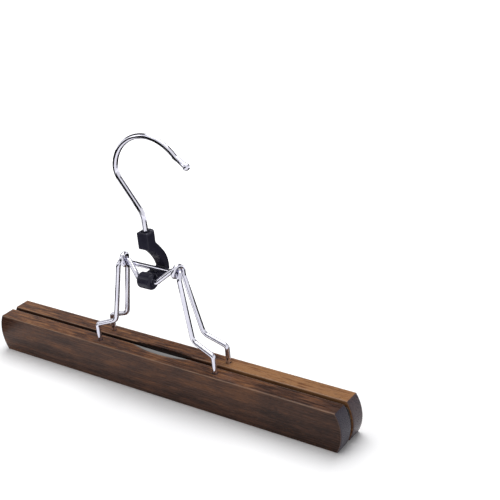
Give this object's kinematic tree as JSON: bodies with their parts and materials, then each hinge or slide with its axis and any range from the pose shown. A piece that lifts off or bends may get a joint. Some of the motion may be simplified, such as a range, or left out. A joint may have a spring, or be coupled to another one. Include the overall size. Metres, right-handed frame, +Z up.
{
  "type": "clamp hanger",
  "caption": "Trouser clamp hanger: long wooden jaws on interlinked chrome wire yokes, closed by a black lever that carries a swivel hook.",
  "frame": {"origin": "on the standing surface, midway between the jaws and midway along the bars", "axes": "+X along the bars towards the hook's open side, +Y from the front jaw to the rear jaw, +Z up along the hook's shank"},
  "size_m": [0.25, 0.023, 0.1577],
  "materials": {
    "stained_wood": "walnut stain under satin lacquer",
    "black_felt": "short felt",
    "chromed_wire": "bright chrome plate on spring wire",
    "black_plastic": "semi-gloss moulded ABS"
  },
  "bodies": {
    "rear_jaw": {"rear_bar": "stained_wood", "rear_lining": "black_felt", "rear_yoke": "chromed_wire"},
    "front_jaw": {"front_bar": "stained_wood", "front_lining": "black_felt", "front_yoke": "chromed_wire"},
    "lever": {"lever": "black_plastic"},
    "hook": {"hook": "chromed_wire"}
  },
  "joints": [
    {"name": "jaw_hinge", "type": "hinge", "parent": "rear_jaw", "child": "front_jaw", "pos_m": [0, 0, 0.0792], "axis": [-1, 0, 0], "range_deg": [0, 24]},
    {"name": "lever_tilt", "type": "hinge", "parent": "front_jaw", "child": "lever", "pos_m": [0, -0.0043, 0.0716], "axis": [-1, 0, 0], "range_deg": [0, 60]},
    {"name": "hook_swivel", "type": "hinge", "parent": "lever", "child": "hook", "pos_m": [0, -0.0004, 0.1], "axis": [0, 0, 1], "continuous": true}
  ],
  "couplings": [
    {"joint": "lever_tilt", "follows": "jaw_hinge", "ratio": 2.5}
  ]
}
